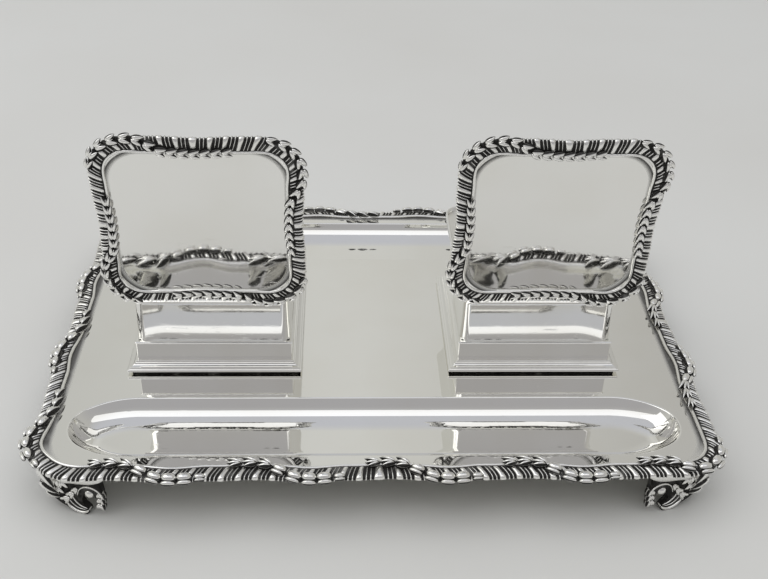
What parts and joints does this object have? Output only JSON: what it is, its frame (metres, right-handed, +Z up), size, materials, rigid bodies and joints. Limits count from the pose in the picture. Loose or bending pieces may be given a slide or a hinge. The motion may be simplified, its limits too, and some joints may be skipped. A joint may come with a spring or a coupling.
{
  "type": "desk inkstand",
  "caption": "Footed silver desk inkstand: tray with cast gadroon border and pen troughs front and back, square inkwells with hinged lids shown open.",
  "frame": {"origin": "on the table under the middle of the tray", "axes": "+X to the right along the tray's length, +Y to the back (the lids hinge on the -Y side), +Z up"},
  "size_m": [0.2836, 0.2136, 0.1439],
  "materials": {
    "polished_silver": "mirror-polished sheet silver with fine hairline scratches",
    "wire_silver": "polished plain silver wire",
    "cast_silver": "cast silver, polished on the high parts and blackened in the grooves",
    "plain_silver": "plain silver, softly polished",
    "clear_glass": "clear cut and polished glass"
  },
  "bodies": {
    "tray": {"tray_plate": "polished_silver", "rim_wire": "wire_silver", "border_front": "cast_silver", "border_right": "cast_silver", "border_back": "cast_silver", "border_left": "cast_silver", "border_corner_front_left": "cast_silver", "border_corner_front_right": "cast_silver", "border_corner_back_left": "cast_silver", "border_corner_back_right": "cast_silver", "foot_front_left": "cast_silver", "foot_front_right": "cast_silver", "foot_back_left": "cast_silver", "foot_back_right": "cast_silver", "bottom_plate_left": "plain_silver", "bottom_plate_right": "plain_silver", "base_moulding_left": "polished_silver", "base_moulding_right": "polished_silver", "plinth_band_left": "polished_silver", "plinth_band_right": "polished_silver", "casing_left": "polished_silver", "casing_right": "polished_silver", "top_frame_left": "plain_silver", "top_frame_right": "plain_silver", "glass_liner_left": "clear_glass", "glass_liner_right": "clear_glass", "well_stud_left": "plain_silver", "well_stud_right": "plain_silver", "well_washer_left": "plain_silver", "well_washer_right": "plain_silver", "well_nut_left": "plain_silver", "well_nut_right": "plain_silver", "hinge_leaf_left": "plain_silver", "hinge_leaf_right": "plain_silver", "hinge_pin_left": "plain_silver", "hinge_pin_right": "plain_silver"},
    "lid_left": {"lid_plate_left": "polished_silver", "lid_wire_left": "wire_silver", "lid_border_left": "cast_silver", "lid_bezel_left": "plain_silver", "lid_leaf_left": "plain_silver"},
    "lid_right": {"lid_plate_right": "polished_silver", "lid_wire_right": "wire_silver", "lid_border_right": "cast_silver", "lid_bezel_right": "plain_silver", "lid_leaf_right": "plain_silver"}
  },
  "joints": [
    {"name": "lid_left_hinge", "type": "hinge", "parent": "tray", "child": "lid_left", "pos_m": [-0.0688, -0.039, 0.0669], "axis": [-1, 0, 0], "range_deg": [0, 97.6]},
    {"name": "lid_right_hinge", "type": "hinge", "parent": "tray", "child": "lid_right", "pos_m": [0.0688, -0.039, 0.0669], "axis": [-1, 0, 0], "range_deg": [0, 97.6]}
  ]
}
